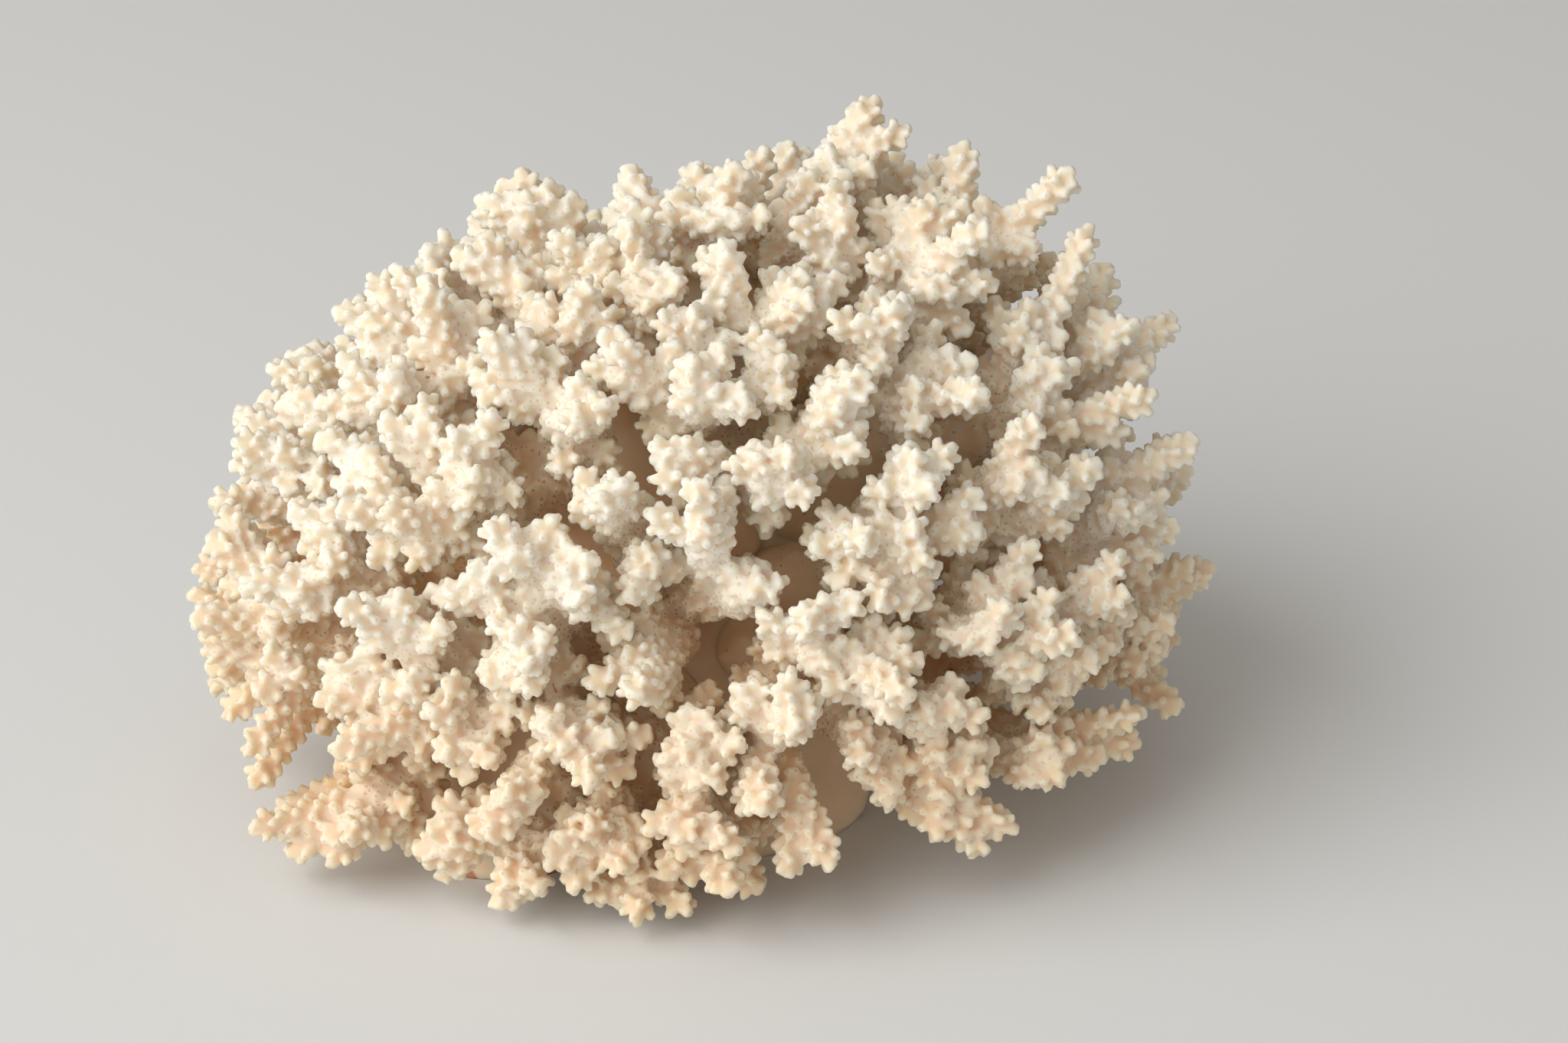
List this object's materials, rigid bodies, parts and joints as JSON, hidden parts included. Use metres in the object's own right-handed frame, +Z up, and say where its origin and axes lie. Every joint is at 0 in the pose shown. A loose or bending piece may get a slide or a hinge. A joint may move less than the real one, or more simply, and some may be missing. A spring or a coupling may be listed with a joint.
{
  "type": "branching coral",
  "caption": "Dried branching coral colony: a low dome of knobbly fingers radiating from a stout holdfast, cut flat underneath to stand on a shelf.",
  "frame": {"origin": "middle of the flat cut under the holdfast", "axes": "+Z up from the cut, -Y towards the front of the colony, +X to its right"},
  "size_m": [0.2008, 0.1636, 0.1291],
  "materials": {
    "holdfast_skeleton": "matt, smooth bone-coloured skeleton",
    "branch_skeleton": "matt ivory skeleton covered with small cups"
  },
  "bodies": {
    "root": {"holdfast": "holdfast_skeleton", "crown_branch_01": "branch_skeleton", "crown_branch_02": "branch_skeleton", "crown_branch_03": "branch_skeleton", "shoulder_branch_01": "branch_skeleton", "shoulder_branch_02": "branch_skeleton", "shoulder_branch_03": "branch_skeleton", "shoulder_branch_04": "branch_skeleton", "shoulder_branch_05": "branch_skeleton", "shoulder_branch_06": "branch_skeleton", "shoulder_branch_07": "branch_skeleton", "shoulder_branch_08": "branch_skeleton", "shoulder_branch_09": "branch_skeleton", "shoulder_branch_10": "branch_skeleton", "skirt_branch_01": "branch_skeleton", "skirt_branch_02": "branch_skeleton", "skirt_branch_03": "branch_skeleton", "skirt_branch_04": "branch_skeleton", "skirt_branch_05": "branch_skeleton", "skirt_branch_06": "branch_skeleton", "skirt_branch_07": "branch_skeleton"}
  },
  "joints": []
}
